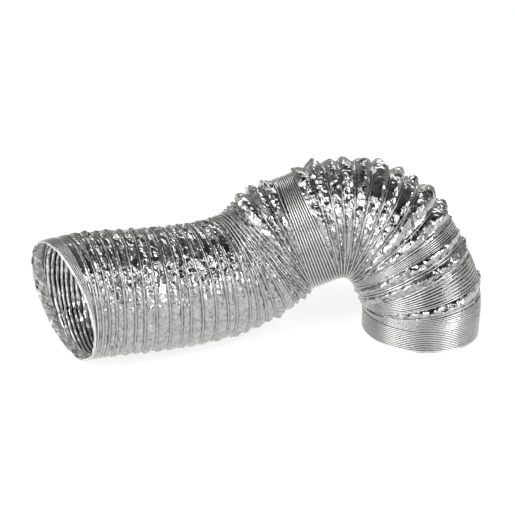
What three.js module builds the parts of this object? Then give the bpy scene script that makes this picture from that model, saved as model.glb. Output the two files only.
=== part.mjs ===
// Flexible ventilation duct: two foil plies around one steel spring wire, standing on one end,
// bent over in an arch and laid down on its side. The duct is modelled as a chain of stretches.
// Between two stretches that hold their shape lies a bellows, where the duct stretches or bends.
import * as THREE from 'three';

// Driving dimensions, in millimetres and degrees.
const COIL_RADIUS = 75.5; // to the middle of the wire, for a 150 mm bore
const WIRE_SIZE = 1;
const FOIL_WALL = 0.5;
const FOIL_CLEARANCE = 0.3; // between the wire and each foil ply
const STRETCH_GAP = 0.8; // left at each end of a stretch, along the centreline
const HEM_WIDTH = 1; // outer foil turned in over the last wire at both open ends
const SIDES = 18; // facets around the duct
const CLOSE_RINGS = 3; // facet rings along a close-wound stretch, and along each plain foil wall

// The centreline starts in the middle of the standing end and leaves it straight up. Each stretch
// turns the duct's direction evenly, up to its own elevation above the floor and its own heading,
// which is measured from -X towards -Y. Its bulge is how far the outer foil stands out between two
// turns of the wire, as a share of the distance between those turns.
const START_ELEVATION = 90;
const START_HEADING = -16;
const STRETCHES = [
  { name: 'base_stack', wound: 'close', length: 30, elevation: 90, heading: -16, turns: 12 },
  { name: 'stack_bellows', wound: 'bellows', length: 9, elevation: 84, heading: -16, turns: 5, bulge: 0.1 },
  { name: 'upper_stack', wound: 'close', length: 5, elevation: 81, heading: -16, turns: 3 },
  { name: 'lower_window', wound: 'bellows', length: 13, elevation: 72.5, heading: -16, turns: 2, bulge: 0.3 },
  { name: 'shoulder_pack', wound: 'close', length: 17.5, elevation: 61, heading: -19, turns: 7 },
  { name: 'upper_window', wound: 'bellows', length: 28, elevation: 57, heading: -25, turns: 4, bulge: 0.3 },
  { name: 'shoulder_cap', wound: 'close', length: 10, elevation: 53.5, heading: -22.5, turns: 5 },
  { name: 'arch_bellows', wound: 'bellows', length: 39.5, elevation: 28.5, heading: -14, turns: 3, bulge: 0.33 },
  { name: 'crown', wound: 'open', length: 24.5, elevation: 13.5, heading: -7, turns: 2, bulge: 0.33 },
  { name: 'crown_bellows', wound: 'bellows', length: 61, elevation: -22, heading: 7, turns: 5, bulge: 0.33 },
  { name: 'dense_pack', wound: 'close', length: 27.5, elevation: -18, heading: 5, turns: 9 },
  { name: 'rise_bellows', wound: 'bellows', length: 31.6, elevation: -37.5, heading: 15, turns: 3, bulge: 0.4 },
  { name: 'rise_foot', wound: 'open', length: 26.5, elevation: -30, heading: 23, turns: 3, bulge: 0.35 },
  { name: 'sweep_bellows', wound: 'bellows', length: 54, elevation: -4.5, heading: 29, turns: 5, bulge: 0.18 },
  { name: 'lying_duct', wound: 'open', length: 52.5, elevation: 0.9, heading: 23, turns: 4, bulge: 0.15 },
  { name: 'lying_bellows', wound: 'bellows', length: 63.5, elevation: 4.5, heading: 19, turns: 5, bulge: 0.15 },
  { name: 'lying_end', wound: 'open', length: 42.5, elevation: 5, heading: 26.5, turns: 3, bulge: 0.15 },
  { name: 'mouth_bellows', wound: 'bellows', length: 31, elevation: 2.5, heading: 33, turns: 3, bulge: 0.15 },
  { name: 'mouth_pack', wound: 'close', length: 16.8, elevation: -5.5, heading: 40.5, turns: 6 },
];

// Radii that follow from the driving dimensions.
const COIL_OUTER = COIL_RADIUS + WIRE_SIZE / 2;
const COIL_INNER = COIL_RADIUS - WIRE_SIZE / 2;
const OUTER_FOIL_INSIDE = COIL_OUTER + FOIL_CLEARANCE;
const OUTER_FOIL_VALLEY = OUTER_FOIL_INSIDE + FOIL_WALL;
const INNER_FOIL_OUTSIDE = COIL_INNER - FOIL_CLEARANCE;
const INNER_FOIL_INSIDE = INNER_FOIL_OUTSIDE - FOIL_WALL;

const CENTRELINE_SLICES = 8;

function axesFor(elevation, heading) {
  const e = THREE.MathUtils.degToRad(elevation);
  const h = THREE.MathUtils.degToRad(heading);
  return {
    ahead: new THREE.Vector3(-Math.cos(e) * Math.cos(h), -Math.cos(e) * Math.sin(h), Math.sin(e)),
    side: new THREE.Vector3(Math.sin(h), -Math.cos(h), 0),
    top: new THREE.Vector3(Math.sin(e) * Math.cos(h), Math.sin(e) * Math.sin(h), Math.cos(e)),
  };
}

function turned(stretch, fraction) {
  return axesFor(
    THREE.MathUtils.lerp(stretch.startElevation, stretch.elevation, fraction),
    THREE.MathUtils.lerp(stretch.startHeading, stretch.heading, fraction),
  );
}

// Centre and axes of the duct's section at a distance along one stretch.
function sectionAt(stretch, distance) {
  const slice = distance / CENTRELINE_SLICES;
  const centre = stretch.start.clone();
  for (let i = 0; i < CENTRELINE_SLICES; i += 1) {
    const middle = (i + 0.5) * slice;
    centre.addScaledVector(turned(stretch, middle / stretch.length).ahead, slice);
  }
  return { centre, ...turned(stretch, distance / stretch.length) };
}

function chainStretches() {
  let start = new THREE.Vector3(0, 0, 0);
  let elevation = START_ELEVATION;
  let heading = START_HEADING;
  for (const stretch of STRETCHES) {
    stretch.start = start;
    stretch.startElevation = elevation;
    stretch.startHeading = heading;
    start = sectionAt(stretch, stretch.length).centre;
    elevation = stretch.elevation;
    heading = stretch.heading;
  }
}

function pointOn(section, radius, angle) {
  return section.centre.clone()
    .addScaledVector(section.side, radius * Math.cos(angle))
    .addScaledVector(section.top, radius * Math.sin(angle));
}

function geometryFrom(points, triangles) {
  const geometry = new THREE.BufferGeometry();
  geometry.setFromPoints(points);
  geometry.setIndex(triangles.flat());
  geometry.computeVertexNormals();
  return geometry;
}

// How far apart two turns of the wire lie at one angle: wide outside a bend and narrow inside it.
function turnSpacing(stretch, distance, angle) {
  const halfTurn = stretch.length / stretch.turns / 2;
  const before = pointOn(sectionAt(stretch, distance - halfTurn), COIL_RADIUS, angle);
  const after = pointOn(sectionAt(stretch, distance + halfTurn), COIL_RADIUS, angle);
  return before.distanceTo(after);
}

// Sweeps a closed profile around the centreline. Its points are [distance, radius, bulge], and the
// bulge adds that share of the turn spacing to the radius. Facets are cut along the same diagonal
// whichever way the profile runs, so nested walls stay the same distance apart.
function sweptRing(stretch, profile) {
  const points = [];
  const triangles = [];
  for (const [distance, radius, bulge = 0] of profile) {
    const section = sectionAt(stretch, distance);
    for (let side = 0; side < SIDES; side += 1) {
      const angle = (2 * Math.PI * side) / SIDES;
      const rise = bulge ? bulge * turnSpacing(stretch, distance, angle) : 0;
      points.push(pointOn(section, radius + rise, angle));
    }
  }
  profile.forEach(([distance], i) => {
    const following = (i + 1) % profile.length;
    const here = i * SIDES;
    const next = following * SIDES;
    const goesBack = profile[following][0] < distance;
    for (let side = 0; side < SIDES; side += 1) {
      const beside = (side + 1) % SIDES;
      if (goesBack) {
        triangles.push([here + side, here + beside, next + side]);
        triangles.push([here + beside, next + beside, next + side]);
      } else {
        triangles.push([here + side, here + beside, next + beside]);
        triangles.push([here + side, next + beside, next + side]);
      }
    }
  });
  return geometryFrom(points, triangles);
}

// Sweeps the wire's square section along a true helix.
function helix(stretch, from, to) {
  const half = WIRE_SIZE / 2;
  const corners = [[-half, -half], [half, -half], [half, half], [-half, half]];
  const steps = stretch.turns * SIDES;
  const points = [];
  const triangles = [];
  for (let i = 0; i <= steps; i += 1) {
    const distance = THREE.MathUtils.lerp(from + half, to - half, i / steps);
    for (const [outwards, ahead] of corners) {
      const section = sectionAt(stretch, distance + ahead);
      points.push(pointOn(section, COIL_RADIUS + outwards, (2 * Math.PI * i) / SIDES));
    }
  }
  for (let i = 0; i < steps; i += 1) {
    for (let corner = 0; corner < 4; corner += 1) {
      const here = i * 4;
      const beside = (corner + 1) % 4;
      triangles.push([here + corner, here + 4 + beside, here + beside]);
      triangles.push([here + corner, here + 4 + corner, here + 4 + beside]);
    }
  }
  const last = steps * 4;
  triangles.push([0, 1, 2], [0, 2, 3], [last, last + 2, last + 1], [last, last + 3, last + 2]);
  return geometryFrom(points, triangles);
}

function spread(from, to, count) {
  return Array.from({ length: count }, (_, i) => THREE.MathUtils.lerp(from, to, i / (count - 1)));
}

// One ring at each turn of the wire and one between each two turns.
function ringsAlong(stretch) {
  return 2 * stretch.turns + 1;
}

function wall(from, to, rings, inside, outside) {
  const places = spread(from, to, rings);
  return [
    ...places.map((place) => [place, outside]),
    ...places.toReversed().map((place) => [place, inside]),
  ];
}

// Foil pleated once for each turn of the wire, on a plain inside wall.
function pleatedWall(stretch, from, to, inside) {
  const places = spread(from, to, ringsAlong(stretch));
  return [
    ...places.map((place, i) => [place, OUTER_FOIL_VALLEY, i % 2 ? stretch.bulge : 0]),
    ...places.toReversed().map((place) => [place, inside]),
  ];
}

// The profile of the duct's open start, with the foil's edge turned in over the last wire.
function hemmedWall(from, to, rings, inside, outside) {
  return [
    ...spread(from, to, rings).map((place) => [place, outside]),
    ...spread(to, from + HEM_WIDTH, rings).map((place) => [place, inside]),
    [from + HEM_WIDTH, INNER_FOIL_INSIDE],
    [from, INNER_FOIL_INSIDE],
  ];
}

// Turns a profile end for end, for the duct's other open end.
function endForEnd(stretch, profile) {
  return profile.map(([distance, radius]) => [stretch.length - distance, radius]).toReversed();
}

const foil = new THREE.MeshStandardMaterial({ color: 0xc9cacc, roughness: 0.32, metalness: 1 });
const innerFoil = new THREE.MeshStandardMaterial({ color: 0xb4b5b8, roughness: 0.4, metalness: 1 });
const steel = new THREE.MeshStandardMaterial({ color: 0x9a9b9e, roughness: 0.3, metalness: 1 });

function makePiece(name, geometry, material) {
  const mesh = new THREE.Mesh(geometry, material);
  mesh.name = name;
  return mesh;
}

function makeBellows(stretch) {
  const profile = pleatedWall(stretch, STRETCH_GAP, stretch.length - STRETCH_GAP, INNER_FOIL_INSIDE);
  return [makePiece(`foil_${stretch.name}`, sweptRing(stretch, profile), foil)];
}

function makeOpenStretch(stretch) {
  const from = STRETCH_GAP;
  const to = stretch.length - STRETCH_GAP;
  const inner = wall(from, to, ringsAlong(stretch), INNER_FOIL_INSIDE, INNER_FOIL_OUTSIDE);
  return [
    makePiece(`outer_foil_${stretch.name}`,
      sweptRing(stretch, pleatedWall(stretch, from, to, OUTER_FOIL_INSIDE)), foil),
    makePiece(`wire_coil_${stretch.name}`, helix(stretch, from, to), steel),
    makePiece(`inner_foil_${stretch.name}`, sweptRing(stretch, inner), innerFoil),
  ];
}

// Where the turns touch each other, the coil is one plain sleeve.
function makeCloseStretch(stretch) {
  const isStart = stretch === STRETCHES[0];
  const isEnd = stretch === STRETCHES.at(-1);
  const from = isStart ? 0 : STRETCH_GAP;
  const to = stretch.length - STRETCH_GAP;
  const behindHem = isStart || isEnd ? HEM_WIDTH + FOIL_CLEARANCE : STRETCH_GAP;
  const rings = CLOSE_RINGS;
  const profiles = {
    outer_foil: isStart || isEnd
      ? hemmedWall(0, to, rings, OUTER_FOIL_INSIDE, OUTER_FOIL_VALLEY)
      : wall(from, to, rings, OUTER_FOIL_INSIDE, OUTER_FOIL_VALLEY),
    wire_coil: wall(behindHem, to, rings, COIL_INNER, COIL_OUTER),
    inner_foil: wall(behindHem, to, rings, INNER_FOIL_INSIDE, INNER_FOIL_OUTSIDE),
  };
  const materials = { outer_foil: foil, wire_coil: steel, inner_foil: innerFoil };
  return Object.entries(profiles).map(([kind, profile]) => {
    const placed = isEnd ? endForEnd(stretch, profile) : profile;
    return makePiece(`${kind}_${stretch.name}`, sweptRing(stretch, placed), materials[kind]);
  });
}

const makers = { bellows: makeBellows, open: makeOpenStretch, close: makeCloseStretch };

chainStretches();
const group = new THREE.Group();
for (const stretch of STRETCHES) {
  group.add(...makers[stretch.wound](stretch));
}

// The origin goes to the middle of the duct's box, on the surface that it stands on.
const box = new THREE.Box3().setFromObject(group, true);
const middle = box.getCenter(new THREE.Vector3());
group.position.set(-middle.x, -middle.y, -box.min.z);
group.updateMatrixWorld(true);

export default group;
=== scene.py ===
import math

import bpy
import numpy as np
from mathutils import Euler, Matrix, Vector


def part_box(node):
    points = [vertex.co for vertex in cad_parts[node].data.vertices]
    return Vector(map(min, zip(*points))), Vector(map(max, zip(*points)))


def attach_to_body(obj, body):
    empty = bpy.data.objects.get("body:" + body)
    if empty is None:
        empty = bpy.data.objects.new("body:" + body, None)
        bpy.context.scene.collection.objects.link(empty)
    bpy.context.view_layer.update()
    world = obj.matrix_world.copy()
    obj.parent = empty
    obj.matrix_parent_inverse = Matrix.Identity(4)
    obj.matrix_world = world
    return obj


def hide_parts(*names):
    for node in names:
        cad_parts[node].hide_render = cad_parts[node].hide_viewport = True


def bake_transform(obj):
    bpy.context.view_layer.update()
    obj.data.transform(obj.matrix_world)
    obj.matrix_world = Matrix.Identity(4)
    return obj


# A flexible ventilation duct: an outer and an inner foil ply around one spring wire. It stands on one
# end, bends over in an arch and lies down towards its mouth. Each stretch of the chain gets an outer
# skin, its turns of wire and an inner skin, all made from one centreline.

MM = 0.001

# The wire coil, in millimetres. The gap is the distance from one turn to the next.
COIL_RADIUS = 75.5
WIRE_RADIUS = 0.95  # with the foil that is drawn tight over it
OPEN_WIRE_RADIUS = 0.78  # where the turns lie far apart
THINNEST_WIRE = 0.35  # where turns crowd at the inside of a bend
WIRE_SHARE_OF_GAP = 0.37
WIRE_GAPS = (3.0, 8.0)  # the wire and the inner foil change from close-wound to open between these gaps
WIRE_SIDES = 10
WIRE_STEPS_PER_TURN = 120

# The outer foil. Lengths are in millimetres.
FOIL_GAPS = (2.2, 6.0)  # the outer foil changes from close-wound to open between these gaps
WIDEST_BULGED_GAP = 27.0
FULL_CRUMPLE_BULGE = 0.1  # the share of bulge from which the foil is fully crumpled
TENT_ROUNDNESS = 1.35  # 1 is a straight-sided ridge, 2 is round
LUMPS = (0.88, 0.30, 0.18)  # of the bulge: its mean, and how far slow and quick waves change it
PEAK_WANDER = 0.26  # how far the ridge strays from the middle of the gap, as a share of the gap
GROOVE_DEPTH = 0.55
GROOVE_PLACE = 1.4  # from the middle of the wire
GROOVE_WIDTH = 0.6
GROOVE_SHADE_SPREAD = 1.6  # the width of the groove's shade over the groove's own width
SEAM_DEPTH = 1.0  # between two turns that touch
DENT = 1.3  # the depth of a coarse dent where the foil doesn't bulge
DENT_PER_BULGE = 3.6  # how much deeper it gets with the share of bulge
FINE_DENT = 0.7
HOLD = 0.6  # the power that dents and folds fade by towards the wires, which hold the foil
LUMP_WAVES = (19.0, 41.0)  # slow and quick, around one turn
PEAK_WAVES = 11.3
# Dents: how many lie around one turn, and from one turn to the next.
COARSE_DENTS = (76.0, 3.0)
FINE_DENTS = (131.0, 5.2)
PATCHES = (21.0, 1.6)
CRUSHED_PATCHES = (0.75, 0.6)  # how crushed a patch is: the mean, and how far it changes
SMOOTH_TURNS = 6.5  # the foil is nearly smooth on this many turns by the mouth
MOUTH_CRUMPLE = 0.25  # how crumpled it is there, as a share
FLOOR_CLEARANCE = 0.3

# The inner foil. Lengths are in millimetres.
INNER_FOLD = 0.36  # the depth of a fold as a share of the gap
WIDEST_FOLDED_GAP = 11.0
INNER_WAVES = (33.0, 71.0)  # slow and quick, around one turn
INNER_QUICK_WAVE = 0.6  # how much the quick waves add, as a share
INNER_FINE_DENT = 0.5  # how much the fine dents add, as a share
INNER_WAVE = 0.35  # how far waves change the depth of a fold, as a share
INNER_SWAY = 0.16  # how far waves move a fold along the duct, in turns
INNER_CLEARANCE = 0.1  # inside the wire

# Painted shade: how light the foil's colour is made where little light gets to it, in the seam between two
# turns that touch and in the groove beside a wire. The skins carry it as a point attribute; their materials
# multiply it in.
LIGHT = "light"
SEAM_LIGHT = 0.1
GROOVE_SHADE = 0.35
INNER_SEAM_LIGHT = 0.12
INNER_CREST = 0.7  # the power that the light fades by from a rib of the inner foil to a seam
CLOSE_RIB_LIGHT = 0.6
OPEN_WIRE_SHADE = 0.2
# This one is pushed shut at rest, and a joint draws it wide open, so its seams stay light, without painted
# shade.
PUSHED_SHUT = "stack_bellows"

# The hems at the two open ends, in millimetres: the stretch, whether it is the mouth, and the width of
# the turned-in edge inside the duct.
HEMS = [("base_stack", False, 8.0), ("mouth_pack", True, 13.0)]
HEM_OUTSIDE = 0.4  # above the coil's radius
HEM_INSIDE = -1.6
HEM_DENT = 0.09
HEM_INSIDE_DENT = 0.9
# Rows around a hem: distance in from the end, radius above the coil's, how far the row wanders along
# the duct, and how deep its dents are.
HEM_ROWS = [
    (2.4, HEM_OUTSIDE - 0.35, 0.3, HEM_DENT),
    (1.8, HEM_OUTSIDE, 0.1, HEM_DENT),
    (1.1, HEM_OUTSIDE, 0.1, HEM_DENT),
    (0.5, HEM_OUTSIDE - 0.1, 0.0, HEM_DENT),
    (0.0, HEM_OUTSIDE - 0.7, 0.35, HEM_DENT),
    (0.0, HEM_INSIDE + 0.6, 0.5, HEM_DENT),
    (0.5, HEM_INSIDE, 0.5, HEM_INSIDE_DENT),
]
HEM_INSIDE_ROWS = 7  # more rows, as far as the turned-in edge reaches
HEM_DRAWN_IN = 0.12  # from one inside row to the next
HEM_RAGGED = 0.25  # how much more each inside row wanders
HEM_CREASES = 0.6  # how much creases add to a hem's dents, as a share
# The circle that a hem's noise is read around.
HEM_NOISE_RADIUS = 12
HEM_NOISE_CENTRE = 40

# The studio: height of a direction (0 level, 1 straight up) and the brightness of the wall there.
FRONT_WALL = [
    (0.0, 0.15), (0.05, 0.2), (0.11, 2.1), (0.33, 2.1), (0.40, 0.02), (0.62, 0.01),
    (0.67, 2.2), (0.75, 2.2), (0.80, 0.02), (1.0, 0.10),
]
BACK_WALL = [(0.0, 0.50), (0.3, 0.36), (0.7, 0.24), (1.0, 0.10)]
BEHIND = (-0.15, 0.25)  # how far back a direction points where the front wall fades into the back wall
# How the front wall's brightness changes from left (0) to right (1): bright sides and a darker middle.
FRONT_SIDES = [
    (0.0, 1.5), (0.13, 1.5), (0.17, 1.0), (0.34, 0.9), (0.41, 0.40), (0.56, 0.35),
    (0.64, 1.0), (0.90, 1.0), (0.96, 0.5), (1.0, 0.5),
]
# Two tall lamps, from left to right in the same way, that reach from the floor to LAMP_TOP.
LAMPS = [
    (0.0, 0.0), (0.02, 2.4), (0.11, 2.4), (0.16, 0.0), (0.75, 0.0), (0.79, 2.2), (0.86, 2.2), (0.90, 0.0),
]
LAMP_TOP = [(0.0, 1.0), (0.55, 1.0), (0.62, 0.0), (1.0, 0.0)]

# Name; place, aim and size in metres; and watts.
SOFTBOXES = [
    ("key_softbox", (-1.2, -1.6, 1.9), (0.0, 0.0, 0.1), (1.2, 0.8), 16),
    ("fill_softbox", (1.7, -0.9, 1.3), (0.1, 0.0, 0.1), (0.5, 1.4), 9),
    ("back_softbox", (0.3, 1.8, 1.5), (0.0, 0.0, 0.1), (1.6, 0.5), 9),
]

FLOOR_HALF_SIDE = 30.0  # metres
FLOOR_GLOW = 0.69
FLOOR_GREYS = (0.50, 0.54)

# Colour of the metal; lowest and highest roughness; and strength of the fine bump.
OUTER_FOIL = ((0.46, 0.46, 0.45), (0.06, 0.18), 0.45)
INNER_FOIL = ((0.84, 0.84, 0.83), (0.20, 0.36), 0.35)
HEM_FOIL = ((0.84, 0.84, 0.83), (0.40, 0.58), 0.4)
WIRE_COLOUR = (0.64, 0.64, 0.635)
WIRE_ROUGHNESS = (0.22, 0.36)
# Cells per metre in the materials' textures, and what they do.
WIRE_PATCHES = 60
GLOSS_PATCHES = 38
MOTTLE = 150
MOTTLE_SHADES = (0.72, 1.2)
CREASE_LINES = 170
CREASE_LINE_WIDTH = 0.07  # of a cell
CREASE_LINE_SHADE = 0.72
BUMP_DENTS = 210
BUMP_GRAIN = 900
BUMP_GRAIN_SHARE = 0.12  # of the dents' height
BUMP_HEIGHT = 0.0006  # metres

# The camera: millimetres from the standing end, and degrees down, to the left and of roll.
CAMERA_PLACE = (-191.1, -925.1, 472.4)
CAMERA_ANGLES = (21.9, 1.41, -1.14)
CAMERA_LENS = 53.95
CAMERA_SENSOR = 36.0
CAMERA_REACH = 100.0  # metres

START_ELEVATION = 90.0
START_HEADING = -16.0
# Name; close-wound, bellows or open; length; elevation and heading at its end; turns of wire; and the
# foil's bulge between two turns, as a share of the distance between them.
STRETCHES = [
    ("base_stack", "close", 30, 90, -16, 12, 0),
    ("stack_bellows", "bellows", 9, 84, -16, 5, 0.1),
    ("upper_stack", "close", 5, 81, -16, 3, 0),
    ("lower_window", "bellows", 13, 72.5, -16, 2, 0.3),
    ("shoulder_pack", "close", 17.5, 61, -19, 7, 0),
    ("upper_window", "bellows", 28, 57, -25, 4, 0.3),
    ("shoulder_cap", "close", 10, 53.5, -22.5, 5, 0),
    ("arch_bellows", "bellows", 39.5, 28.5, -14, 3, 0.33),
    ("crown", "open", 24.5, 13.5, -7, 2, 0.33),
    ("crown_bellows", "bellows", 61, -22, 7, 5, 0.33),
    ("dense_pack", "close", 27.5, -18, 5, 9, 0),
    ("rise_bellows", "bellows", 31.6, -37.5, 15, 3, 0.4),
    ("rise_foot", "open", 26.5, -30, 23, 3, 0.35),
    ("sweep_bellows", "bellows", 54, -4.5, 29, 5, 0.18),
    ("lying_duct", "open", 52.5, 0.9, 23, 4, 0.15),
    ("lying_bellows", "bellows", 63.5, 4.5, 19, 5, 0.15),
    ("lying_end", "open", 42.5, 5, 26.5, 3, 0.15),
    ("mouth_bellows", "bellows", 31, 2.5, 33, 3, 0.15),
    ("mouth_pack", "close", 16.8, -5.5, 40.5, 6, 0),
]
# Where a stretch's turns lie, as shares of its length, if they aren't evenly spaced.
UNEVEN_TURNS = {
    "mouth_bellows": [0.38, 0.72],
    "mouth_pack": [0.45, 0.56, 0.67, 0.78, 0.89],
    "upper_window": [0.46, 0.54, 0.96],
    "lower_window": [0.86],
}
TURN_JITTER = 0.16  # of the pitch, in open stretches and bellows

# Rows of the foil's mesh from one turn to the next, and its columns around the duct.
CLOSE_ROWS = [0.0, 0.2, 0.5, 0.8]
SPREAD_ROWS = [0.0, 0.04, 0.08, 0.13, 0.19, 0.26, 0.34, 0.42, 0.5, 0.58, 0.66, 0.74, 0.81, 0.87, 0.92, 0.96]
INNER_ROWS = [0.0, 0.04, 0.10, 0.17, 0.25, 0.33, 0.40, 0.46, 0.5, 0.54, 0.60, 0.67, 0.75, 0.83, 0.90, 0.96]
COLUMNS = 330
INNER_COLUMNS = 200
CREASE_ANGLE = math.radians(14)
TURN_SEED = 7
SAME_PLACE = 1e-4  # millimetres between points that are joined


def axes_for(elevation, heading):
    """The duct's direction, its side and its outer side for angles in degrees."""
    e, h = np.radians(elevation), np.radians(heading)
    ahead = np.stack([-np.cos(e) * np.cos(h), -np.cos(e) * np.sin(h), np.sin(e)], -1)
    side = np.stack([np.sin(h), -np.cos(h), np.zeros_like(h)], -1)
    top = np.stack([np.sin(e) * np.cos(h), np.sin(e) * np.sin(h), np.cos(e)], -1)
    return ahead, side, top


def outwards_at(angle, side, top):
    """The direction from the centreline to an angle around the duct."""
    return side * np.cos(angle)[..., None] + top * np.sin(angle)[..., None]


class Centreline:
    """The middle of the duct, in millimetres, and where each turn of the wire crosses it."""

    STEP = 0.25

    def __init__(self, start):
        ends = np.cumsum([0.0] + [s[2] for s in STRETCHES])
        self.distance = np.arange(0.0, ends[-1] + self.STEP, self.STEP)
        elevation = np.interp(self.distance, ends, [START_ELEVATION] + [s[3] for s in STRETCHES])
        heading = np.interp(self.distance, ends, [START_HEADING] + [s[4] for s in STRETCHES])
        ahead, self.side, self.top = axes_for(elevation, heading)
        middles = (ahead[1:] + ahead[:-1]) / 2 * self.STEP
        self.centre = np.vstack([np.zeros(3), np.cumsum(middles, 0)]) + np.asarray(start)
        self.stretch_turns = np.cumsum([0] + [s[5] for s in STRETCHES])
        self.bulges = np.repeat([s[6] for s in STRETCHES], [s[5] for s in STRETCHES])
        self.shut = np.repeat([float(s[0] == PUSHED_SHUT) for s in STRETCHES], [s[5] for s in STRETCHES])
        self.turn_places = self.place_turns(ends)

    @staticmethod
    def place_turns(ends):
        rng = np.random.default_rng(TURN_SEED)
        places = [0.0]
        for (name, wound, length, _, _, turns, _), start in zip(STRETCHES, ends):
            shares = np.arange(1, turns) / turns
            if name in UNEVEN_TURNS:
                shares = np.array(UNEVEN_TURNS[name])
            elif wound != "close":
                shares = shares + rng.uniform(-TURN_JITTER, TURN_JITTER, turns - 1) / turns
            places += list(start + length * shares) + [start + length]
        return np.array(places)

    def at_turn(self, turn):
        """Centre, side and outer side of the section that a turn of the wire has reached."""
        distance = np.interp(turn, np.arange(len(self.turn_places)), self.turn_places)
        return [
            np.stack([np.interp(distance, self.distance, field[:, i]) for i in range(3)], -1)
            for field in (self.centre, self.side, self.top)
        ]

    def point(self, turn, angle, radius):
        centre, side, top = self.at_turn(turn)
        return centre + outwards_at(angle, side, top) * np.asarray(radius)[..., None]

    def bulge(self, turn):
        return np.interp(turn, np.arange(len(self.bulges)), self.bulges)

    def pushed_shut(self, turn):
        return self.shut[np.clip(np.floor(turn), 0, len(self.shut) - 1).astype(int)]

    def crushed(self, turn):
        """How crumpled the outer foil is: fully, but nearly smooth by the mouth."""
        turns_left = len(self.turn_places) - 1 - turn
        return MOUTH_CRUMPLE + (1 - MOUTH_CRUMPLE) * smoothstep(SMOOTH_TURNS, SMOOTH_TURNS + 2, turns_left)

    def gap(self, turn, angle):
        """The distance between the wire at this place and one turn further on."""
        last = len(self.turn_places) - 1
        here = np.clip(turn, 0, last - 1)
        radius = np.full(np.shape(turn), COIL_RADIUS)
        step = self.point(here + 1, angle, radius) - self.point(here, angle, radius)
        return np.linalg.norm(step, axis=-1)


def smoothstep(low, high, value):
    t = np.clip((value - low) / (high - low), 0, 1)
    return t * t * (3 - 2 * t)


def lattice(i, j, seed):
    """A fixed pseudo-random number from -1 to 1 for each pair of whole numbers."""
    mixed = np.sin(i * 127.1 + j * 311.7 + seed * 74.7) * 43758.5453
    return 2 * (mixed - np.floor(mixed)) - 1


def wave(x, y, seed):
    """Smooth noise from -1 to 1."""
    i, j = np.floor(x), np.floor(y)
    u, v = smoothstep(0, 1, x - i), smoothstep(0, 1, y - j)
    low = lattice(i, j, seed) * (1 - u) + lattice(i + 1, j, seed) * u
    high = lattice(i, j + 1, seed) * (1 - u) + lattice(i + 1, j + 1, seed) * u
    return low * (1 - v) + high * v


def creases(x, y, seed):
    """Flat facets between sharp creases, from -1 to 1, as crumpled foil has."""
    # The grid is warped first, so that its straight lines don't show.
    x = x + 0.45 * wave(x * 0.7 + 3.1, y * 0.9, seed + 11)
    y = y + 0.40 * wave(x * 0.8, y * 0.7 + 5.2, seed + 12)
    i, j = np.floor(x), np.floor(y)
    a, b = x - i, y - j
    h00, h10 = lattice(i, j, seed), lattice(i + 1, j, seed)
    h01, h11 = lattice(i, j + 1, seed), lattice(i + 1, j + 1, seed)
    lower = h00 + (h10 - h00) * a + (h01 - h00) * b
    upper = h11 + (h01 - h11) * (1 - a) + (h10 - h11) * (1 - b)
    rising = h00 + (h11 - h10) * b + (h10 - h00) * a
    falling = h00 + (h01 - h00) * b + (h11 - h01) * a
    one_way = np.where(a + b < 1, lower, upper)
    other_way = np.where(a > b, rising, falling)
    return np.where(lattice(i, j, seed + 5) > 0, one_way, other_way)


def turn_share(turn, angle):
    """Where a place lies between two turns of the wire (0 to 1), and the turn that it comes after."""
    along = turn - angle / (2 * math.pi)
    share = np.clip(along - np.floor(along + 1e-9), 0, 1)
    return share, turn - share


def crumples(helix, share, seed):
    """Dents between sharp creases. Some patches of the foil are crushed and some are nearly flat."""
    mean, change = CRUSHED_PATCHES
    coarse = creases(helix * COARSE_DENTS[0], share * COARSE_DENTS[1] + 0.2, seed)
    fine = creases(helix * FINE_DENTS[0], share * FINE_DENTS[1] + 0.6, seed + 1)
    crushed = mean + change * wave(helix * PATCHES[0], share * PATCHES[1], seed + 2)
    return crushed * coarse, crushed * fine


def helix_wave(helix, waves_per_turn, seed):
    """Smooth noise along the helix, the same all the way from one turn to the next."""
    return wave(helix * waves_per_turn, helix * 0.0, seed)


def near_wire(from_wire, width):
    return np.exp(-(((from_wire - GROOVE_PLACE) / width) ** 2))


def outer_points(line, turn, angle):
    """The outer ply bulges between the turns. Returns its points and its painted shade: how light its colour
    is there (0 to 1).
    """
    share, helix = turn_share(turn, angle)
    gap = line.gap(helix, angle)
    room = smoothstep(*FOIL_GAPS, gap)
    loose = np.clip(line.bulge(helix) / FULL_CRUMPLE_BULGE, 0, 1)
    slow = helix_wave(helix, LUMP_WAVES[0], seed=20)
    quick = helix_wave(helix, LUMP_WAVES[1], seed=21)
    lumps = LUMPS[0] + LUMPS[1] * slow + LUMPS[2] * quick
    peak = 0.5 + PEAK_WANDER * helix_wave(helix, PEAK_WAVES, seed=22)
    tent = 1 - np.abs(2 * share ** (math.log(0.5) / np.log(peak)) - 1) ** TENT_ROUNDNESS
    bulge = line.bulge(helix) * np.minimum(gap, WIDEST_BULGED_GAP) * room * lumps * tent
    from_wire = np.minimum(share, 1 - share) * gap
    groove = GROOVE_DEPTH * near_wire(from_wire, GROOVE_WIDTH) * room
    seam = SEAM_DEPTH * np.sin(math.pi * share) * (1 - room)
    held = np.clip(4 * share * (1 - share), 0, 1) ** HOLD * line.crushed(helix)
    coarse, fine = crumples(helix, share, seed=30)
    dents = (DENT + DENT_PER_BULGE * line.bulge(helix)) * coarse + FINE_DENT * fine
    crumple = dents * held * room * loose
    radius = COIL_RADIUS + bulge + crumple - groove - seam
    # Painted shade: the colour is darkened in the seams of close-wound turns and in the groove beside each
    # wire.
    lit = np.maximum(room, line.pushed_shut(turn))
    shade = GROOVE_SHADE * near_wire(from_wire, GROOVE_SHADE_SPREAD * GROOVE_WIDTH) * room
    light = (SEAM_LIGHT + (1 - SEAM_LIGHT) * lit) * (1 - shade)
    return line.point(turn, angle, radius), light


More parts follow.
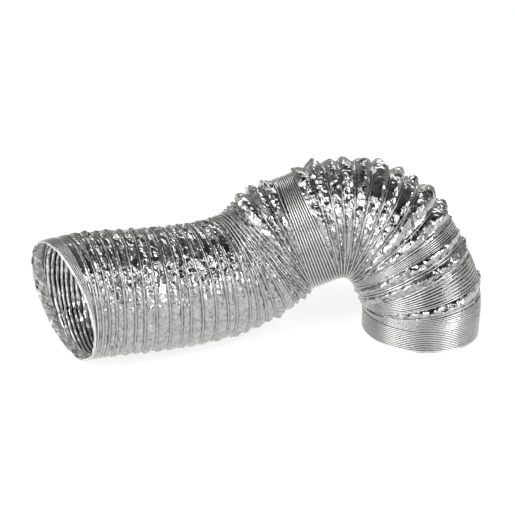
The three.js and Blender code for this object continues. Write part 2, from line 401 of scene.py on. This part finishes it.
def inner_points(line, turn, angle):
    """The inner ply folds inwards between the turns, in wavy ribbons with dark hollows between them. The
    hollows are folds in the mesh, and painted shade darkens their colour too.
    """
    share, helix = turn_share(turn, angle)
    gap = line.gap(helix, angle)
    room = smoothstep(*WIRE_GAPS, gap)
    crest = np.abs(np.sin(2 * math.pi * share))
    slow = helix_wave(helix, INNER_WAVES[0], seed=71)
    wavy = slow + INNER_QUICK_WAVE * helix_wave(helix, INNER_WAVES[1], seed=72)
    coarse, fine = crumples(helix, share, seed=60)
    depth = INNER_FOLD * np.minimum(gap, WIDEST_FOLDED_GAP) * room
    fold = depth * (1 + INNER_WAVE * wavy) * crest ** HOLD
    dents = np.abs(coarse + INNER_FINE_DENT * fine) * crest * room
    radius = COIL_RADIUS - WIRE_RADIUS - INNER_CLEARANCE - fold - dents
    sway = INNER_SWAY * wavy * crest * room
    reached = np.clip(turn + sway, 0, len(line.turn_places) - 1)
    # Painted shade: the colour darkens from each rib to the seams, and the ribs are darker where turns lie
    # close.
    rib = CLOSE_RIB_LIGHT + (1 - CLOSE_RIB_LIGHT) * room
    light = INNER_SEAM_LIGHT + (1 - INNER_SEAM_LIGHT) * crest ** INNER_CREST * rib
    return line.point(reached, angle, radius), light


def raised(points):
    """The points, with none below the floor or on it."""
    return np.column_stack([points[:, :2], np.maximum(points[:, 2], FLOOR_CLEARANCE)])


def mesh_object(name, points, faces, material, creased=True):
    mesh = bpy.data.meshes.new(name)
    mesh.from_pydata((points * MM).tolist(), [], faces.tolist())
    mesh.polygons.foreach_set("use_smooth", np.full(len(mesh.polygons), True))
    mesh.materials.append(material)
    mesh.update()
    if creased:
        mesh.set_sharp_from_angle(angle=CREASE_ANGLE)
    piece = bpy.data.objects.new(name, mesh)
    bpy.context.scene.collection.objects.link(piece)
    return piece


def set_light(piece, light):
    piece.data.attributes.new(LIGHT, "FLOAT", "POINT").data.foreach_set("value", light)


def sheet_faces(index):
    """Two triangles for each cell of a grid of point numbers."""
    a, b = index[:-1, :-1].reshape(-1), index[:-1, 1:].reshape(-1)
    c, d = index[1:, 1:].reshape(-1), index[1:, :-1].reshape(-1)
    return np.vstack([np.stack([a, b, c], 1), np.stack([a, c, d], 1)])


def tube_faces(index):
    """The same for a grid whose last column joins its first."""
    return sheet_faces(np.column_stack([index, index[:, 0]]))


def merged(points, faces):
    """Joins points that share one place and drops the faces that this closes up."""
    keys = np.round(points / SAME_PLACE).astype(np.int64)
    _, first, inverse = np.unique(keys, axis=0, return_index=True, return_inverse=True)
    faces = inverse.reshape(-1)[faces]
    flat = (faces[:, 0] == faces[:, 1]) | (faces[:, 1] == faces[:, 2]) | (faces[:, 0] == faces[:, 2])
    return first, faces[~flat]


# Which points each ply has, its rows between two turns of an open stretch, and its columns.
PLIES = {
    "outer": (outer_points, SPREAD_ROWS, COLUMNS),
    "inner": (inner_points, INNER_ROWS, INNER_COLUMNS),
}


def skin(line, ply, name, wound, first, last, material):
    """One ply of foil from one turn to another. Its rows run along the wire, from edge to edge."""
    points_of, spread_rows, columns = PLIES[ply]
    evenly_close = wound == "close" and name not in UNEVEN_TURNS
    rows = np.array(CLOSE_ROWS if evenly_close else spread_rows)
    angles = np.arange(columns + 1) * 2 * math.pi / columns
    along = (np.arange(first - 1, last)[:, None] + rows[None, :]).reshape(-1)
    along = np.append(along, last)
    turn = np.clip(along[:, None] + angles[None, :] / (2 * math.pi), first, last)
    angle = np.broadcast_to(angles[None, :], turn.shape)
    points, light = points_of(line, turn.reshape(-1), angle.reshape(-1))
    faces = sheet_faces(np.arange(turn.size).reshape(turn.shape))
    if ply == "inner":
        faces = faces[:, ::-1]
    points = raised(points)
    kept, faces = merged(points, faces)
    piece = mesh_object(f"{ply}_skin_{name}", points[kept], faces, material)
    set_light(piece, light[kept])
    return piece, turn.reshape(-1)[kept]


def wire(line, name, first, last, material):
    """The turns of the spring wire from one turn to another, as a tube with closed ends."""
    steps = (last - first) * WIRE_STEPS_PER_TURN
    turn = np.linspace(first, last, steps + 1)
    around = np.arange(WIRE_SIDES) * 2 * math.pi / WIRE_SIDES
    centre, side, top = line.at_turn(turn)
    angle = 2 * math.pi * turn
    outwards = outwards_at(angle, side, top)
    ahead = np.cross(side, top)
    middle = centre + outwards * COIL_RADIUS
    closest = np.minimum(line.gap(turn, angle), line.gap(turn - 1, angle))
    room = smoothstep(*WIRE_GAPS, closest)
    thickest = WIRE_RADIUS - (WIRE_RADIUS - OPEN_WIRE_RADIUS) * room
    thickness = np.clip(WIRE_SHARE_OF_GAP * closest, THINNEST_WIRE, thickest)[:, None, None]
    ring = outwards[:, None] * np.cos(around)[None, :, None] + ahead[:, None] * np.sin(around)[None, :, None]
    points = raised((middle[:, None] + thickness * ring).reshape(-1, 3))
    index = np.arange(points.shape[0]).reshape(steps + 1, WIRE_SIDES)
    last_ring = index[-1, 0]
    caps = [(0, i + 1, i) for i in range(1, WIRE_SIDES - 1)]
    caps += [(last_ring, last_ring + i, last_ring + i + 1) for i in range(1, WIRE_SIDES - 1)]
    faces = np.vstack([tube_faces(index), np.array(caps)])
    piece = mesh_object(name, points, faces, material, creased=False)
    set_light(piece, np.repeat(1 - OPEN_WIRE_SHADE * room, WIRE_SIDES))
    return piece, np.repeat(turn, WIRE_SIDES)


def hem_rows(inside_width):
    """HEM_ROWS, and evenly spaced rows after them as far as the turned-in edge reaches."""
    start, above, _, _ = HEM_ROWS[-1]
    rows = list(HEM_ROWS)
    for i in range(1, HEM_INSIDE_ROWS + 1):
        depth = start + (inside_width - start) * i / HEM_INSIDE_ROWS
        rows.append((depth, above - HEM_DRAWN_IN * i, HEM_RAGGED * i, HEM_INSIDE_DENT))
    return rows


def hem(line, name, at_mouth, inside_width, material):
    """A band of foil turned in over the last wire at one open end, with a slightly ragged edge."""
    end_turn = float(len(line.turn_places) - 1 if at_mouth else 0)
    rows = hem_rows(inside_width)
    angle = np.arange(COLUMNS) * 2 * math.pi / COLUMNS
    centre, side, top = line.at_turn(np.full(COLUMNS, end_turn))
    inwards = np.cross(side, top) * (-1.0 if at_mouth else 1.0)
    outwards = outwards_at(angle, side, top)
    # The noise closes up after one turn, because it is read around a circle.
    x = HEM_NOISE_RADIUS * np.cos(angle) + HEM_NOISE_CENTRE
    y = HEM_NOISE_RADIUS * np.sin(angle) + HEM_NOISE_CENTRE
    ragged = wave(x * 1.7, y * 1.7, seed=83)
    rings = []
    for row, (depth, above, wander, dent) in enumerate(rows):
        dents = wave(x + row * 0.35, y, seed=81) + HEM_CREASES * creases(x * 2, y * 2 + row, seed=82)
        reach = COIL_RADIUS + above + dent * dents
        rings.append(centre + outwards * reach[:, None] + inwards * (depth + wander * ragged)[:, None])
    points = raised(np.concatenate(rings))
    faces = tube_faces(np.arange(len(points)).reshape(len(rows), COLUMNS))
    if at_mouth:
        faces = faces[:, ::-1]
    return mesh_object(name, points, faces, material)


def nodes_of(material):
    material.use_nodes = True
    tree = material.node_tree
    return tree, tree.nodes["Principled BSDF"]


def object_place(tree):
    return tree.nodes.new("ShaderNodeTexCoord").outputs["Object"]


def noise_node(tree, place, scale, detail, roughness=0.5):
    node = tree.nodes.new("ShaderNodeTexNoise")
    node.inputs["Scale"].default_value = scale
    node.inputs["Detail"].default_value = detail
    node.inputs["Roughness"].default_value = roughness
    tree.links.new(place, node.inputs["Vector"])
    return node.outputs["Fac"]


def voronoi_node(tree, place, scale):
    node = tree.nodes.new("ShaderNodeTexVoronoi")
    node.inputs["Scale"].default_value = scale
    tree.links.new(place, node.inputs["Vector"])
    return node


def range_node(tree, source, low, high, to_low, to_high):
    node = tree.nodes.new("ShaderNodeMapRange")
    node.inputs["From Min"].default_value = low
    node.inputs["From Max"].default_value = high
    node.inputs["To Min"].default_value = to_low
    node.inputs["To Max"].default_value = to_high
    tree.links.new(source, node.inputs["Value"])
    return node.outputs["Result"]


def math_node(tree, operation, *values):
    node = tree.nodes.new("ShaderNodeMath")
    node.operation = operation
    for socket, value in zip(node.inputs, values):
        if isinstance(value, (int, float)):
            socket.default_value = value
        else:
            tree.links.new(value, socket)
    return node.outputs["Value"]


def vector_node(tree, operation, *values):
    node = tree.nodes.new("ShaderNodeVectorMath")
    node.operation = operation
    for socket, value in zip(node.inputs, values):
        tree.links.new(value, socket)
    return node.outputs["Vector"]


def scale_colour(tree, shader, colour, level):
    scaled = tree.nodes.new("ShaderNodeVectorMath")
    scaled.operation = "SCALE"
    scaled.inputs[0].default_value = colour
    tree.links.new(level, scaled.inputs["Scale"])
    tree.links.new(scaled.outputs["Vector"], shader.inputs["Base Color"])


def carried_light(tree):
    """The mesh's own light attribute."""
    node = tree.nodes.new("ShaderNodeAttribute")
    node.attribute_name = LIGHT
    return node.outputs["Fac"]


def foil_material(name, look, carries_light=True):
    """Crumpled foil laminate: bright metal with patchy gloss, flat dents and fine crease lines of painted
    shade.
    """
    colour, roughness, bump_strength = look
    material = bpy.data.materials.new(name)
    tree, shader = nodes_of(material)
    shader.inputs["Metallic"].default_value = 1.0
    place = object_place(tree)
    gloss = range_node(tree, noise_node(tree, place, GLOSS_PATCHES, 3), 0.35, 0.68, *roughness)
    tree.links.new(gloss, shader.inputs["Roughness"])

    tint = range_node(tree, noise_node(tree, place, MOTTLE, 4, 0.65), 0.32, 0.68, *MOTTLE_SHADES)
    # Painted shade: thin dark lines along the edges of noise cells stand in for fine creases that the mesh
    # doesn't have.
    lines = voronoi_node(tree, place, CREASE_LINES)
    lines.feature = "DISTANCE_TO_EDGE"
    from_line = lines.outputs["Distance"]
    painted_crease_shade = range_node(tree, from_line, 0.0, CREASE_LINE_WIDTH, CREASE_LINE_SHADE, 1.0)
    level = math_node(tree, "MULTIPLY", tint, painted_crease_shade)
    # The light attribute is painted shade, multiplied into the colour.
    if carries_light:
        level = math_node(tree, "MULTIPLY", level, carried_light(tree))
    scale_colour(tree, shader, colour, level)

    dents = voronoi_node(tree, place, BUMP_DENTS)
    dents.distance = "MANHATTAN"
    grain = noise_node(tree, place, BUMP_GRAIN, 3)
    bump = tree.nodes.new("ShaderNodeBump")
    bump.inputs["Strength"].default_value = bump_strength
    bump.inputs["Distance"].default_value = BUMP_HEIGHT
    height = math_node(tree, "MULTIPLY_ADD", grain, BUMP_GRAIN_SHARE, dents.outputs["Distance"])
    tree.links.new(height, bump.inputs["Height"])
    tree.links.new(bump.outputs["Normal"], shader.inputs["Normal"])
    return material


def wire_material():
    """Foil drawn tight over drawn steel wire: a clean bright line."""
    material = bpy.data.materials.new("foil_drawn_over_wire")
    tree, shader = nodes_of(material)
    shader.inputs["Metallic"].default_value = 1.0
    scale_colour(tree, shader, WIRE_COLOUR, carried_light(tree))
    patches = noise_node(tree, object_place(tree), WIRE_PATCHES, 4)
    rough = range_node(tree, patches, 0.35, 0.65, *WIRE_ROUGHNESS)
    tree.links.new(rough, shader.inputs["Roughness"])
    return material


def floor_material():
    material = bpy.data.materials.new("pale_floor")
    tree, shader = nodes_of(material)
    shader.inputs["Roughness"].default_value = 0.8
    shader.inputs["Emission Color"].default_value = (1, 1, 1, 1)
    shader.inputs["Emission Strength"].default_value = FLOOR_GLOW
    tint = tree.nodes.new("ShaderNodeMix")
    tint.data_type = "RGBA"
    for socket, grey in zip(("A", "B"), FLOOR_GREYS):
        tint.inputs[socket].default_value = (grey, grey, grey, 1)
    tree.links.new(noise_node(tree, object_place(tree), 3, 2), tint.inputs["Factor"])
    tree.links.new(tint.outputs["Result"], shader.inputs["Base Color"])
    return material


def make_floor():
    half = FLOOR_HALF_SIDE
    square = [(-half, -half, 0), (half, -half, 0), (half, half, 0), (-half, half, 0)]
    mesh = bpy.data.meshes.new("studio_floor")
    mesh.from_pydata(square, [], [(0, 1, 2, 3)])
    mesh.materials.append(floor_material())
    floor = bpy.data.objects.new("studio_floor", mesh)
    bpy.context.scene.collection.objects.link(floor)


def softbox(name, place, aim, size, watts):
    data = bpy.data.lights.new(name, "AREA")
    data.shape = "RECTANGLE"
    data.size, data.size_y = size
    data.energy = watts
    lamp = bpy.data.objects.new(name, data)
    lamp.location = place
    lamp.rotation_euler = (Vector(aim) - Vector(place)).to_track_quat("-Z", "Y").to_euler()
    bpy.context.scene.collection.objects.link(lamp)


def level_ramp(tree, source, stops):
    ramp = tree.nodes.new("ShaderNodeValToRGB")
    (first, low), (last, high) = stops[0], stops[-1]
    ramp.color_ramp.elements[0].position = first
    ramp.color_ramp.elements[0].color = (low, low, low, 1)
    ramp.color_ramp.elements[1].position = last
    ramp.color_ramp.elements[1].color = (high, high, high, 1)
    for position, level in stops[1:-1]:
        ramp.color_ramp.elements.new(position).color = (level, level, level, 1)
    tree.links.new(source, ramp.inputs["Fac"])
    return ramp.outputs["Color"]


def make_world():
    """A studio: a bright front wall with dark gaps and two tall lamps, and a grey wall behind."""
    world = bpy.data.worlds.new("studio")
    bpy.context.scene.world = world
    world.use_nodes = True
    tree = world.node_tree
    background = tree.nodes["Background"]
    split = tree.nodes.new("ShaderNodeSeparateXYZ")
    tree.links.new(tree.nodes.new("ShaderNodeTexCoord").outputs["Generated"], split.inputs["Vector"])
    up = split.outputs["Z"]
    across = range_node(tree, split.outputs["X"], -1.0, 1.0, 0.0, 1.0)
    sides = level_ramp(tree, across, FRONT_SIDES)
    wall = vector_node(tree, "MULTIPLY", level_ramp(tree, up, FRONT_WALL), sides)
    lamps = level_ramp(tree, across, LAMPS)
    front = vector_node(tree, "MULTIPLY_ADD", lamps, level_ramp(tree, up, LAMP_TOP), wall)
    walls = tree.nodes.new("ShaderNodeMix")
    walls.data_type = "RGBA"
    tree.links.new(range_node(tree, split.outputs["Y"], *BEHIND, 0.0, 1.0), walls.inputs["Factor"])
    tree.links.new(front, walls.inputs["A"])
    tree.links.new(level_ramp(tree, up, BACK_WALL), walls.inputs["B"])
    tree.links.new(walls.outputs["Result"], background.inputs["Color"])
    background.inputs["Strength"].default_value = 1.0


def make_camera(start):
    """From the front and a little above. The place is measured from the standing end."""
    data = bpy.data.cameras.new("camera")
    data.lens = CAMERA_LENS
    data.sensor_width = CAMERA_SENSOR
    data.clip_end = CAMERA_REACH
    camera = bpy.data.objects.new("camera", data)
    camera.location = (Vector(start) + Vector(CAMERA_PLACE)) * MM
    down, aside, roll = CAMERA_ANGLES
    aimed = Euler((math.radians(90 - down), 0, math.radians(aside))).to_matrix()
    camera.rotation_euler = (aimed @ Matrix.Rotation(math.radians(roll), 3, "Z")).to_euler()
    bpy.context.scene.collection.objects.link(camera)
    bpy.context.scene.camera = camera


def standing_end():
    """The middle of the standing end on the floor, in millimetres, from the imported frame."""
    low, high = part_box("inner_foil_base_stack")
    return np.array([(low.x + high.x) / 2, (low.y + high.y) / 2, 0.0]) / MM


def attach(piece, stretch_index):
    """Rigid stretches ride on their body. A bellows rides on none: its transform is baked into its mesh."""
    name, wound = STRETCHES[stretch_index][:2]
    if wound != "bellows":
        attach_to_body(piece, name)
        return
    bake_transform(piece)


def make_duct(outer, inner, steel):
    for index, (name, wound, *_) in enumerate(STRETCHES):
        first, last = int(LINE.stretch_turns[index]), int(LINE.stretch_turns[index + 1])
        made = {
            "outer_foil": skin(LINE, "outer", name, wound, first, last, outer),
            "inner_foil": skin(LINE, "inner", name, wound, first, last, inner),
            "spring_wire": wire(LINE, f"wire_turns_{name}", first, last, steel),
        }
        for slot, (piece, turns) in made.items():
            attach(piece, index)
            node = "wire_coil" if slot == "spring_wire" else slot
            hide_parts(f"foil_{name}" if wound == "bellows" else f"{node}_{name}")


def make_hems(foil):
    for stretch, at_mouth, width in HEMS:
        band = hem(LINE, f"hem_{stretch}", at_mouth, width, foil)
        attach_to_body(band, stretch)
        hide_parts(f"outer_foil_{stretch}")


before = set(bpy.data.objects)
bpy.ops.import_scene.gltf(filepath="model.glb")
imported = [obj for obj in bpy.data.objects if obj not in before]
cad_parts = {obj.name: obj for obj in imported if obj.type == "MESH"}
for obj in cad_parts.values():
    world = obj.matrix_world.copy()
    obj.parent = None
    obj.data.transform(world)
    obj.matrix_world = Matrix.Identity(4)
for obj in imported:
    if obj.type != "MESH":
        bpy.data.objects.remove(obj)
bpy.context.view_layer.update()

START = standing_end()
LINE = Centreline(START)

make_camera(START)
make_world()
make_floor()
for box in SOFTBOXES:
    softbox(*box)

bpy.context.scene.view_settings.view_transform = "Standard"

make_duct(
    foil_material("outer_foil_laminate", OUTER_FOIL),
    foil_material("inner_foil_laminate", INNER_FOIL),
    wire_material(),
)
make_hems(foil_material("turned_in_foil", HEM_FOIL, carries_light=False))
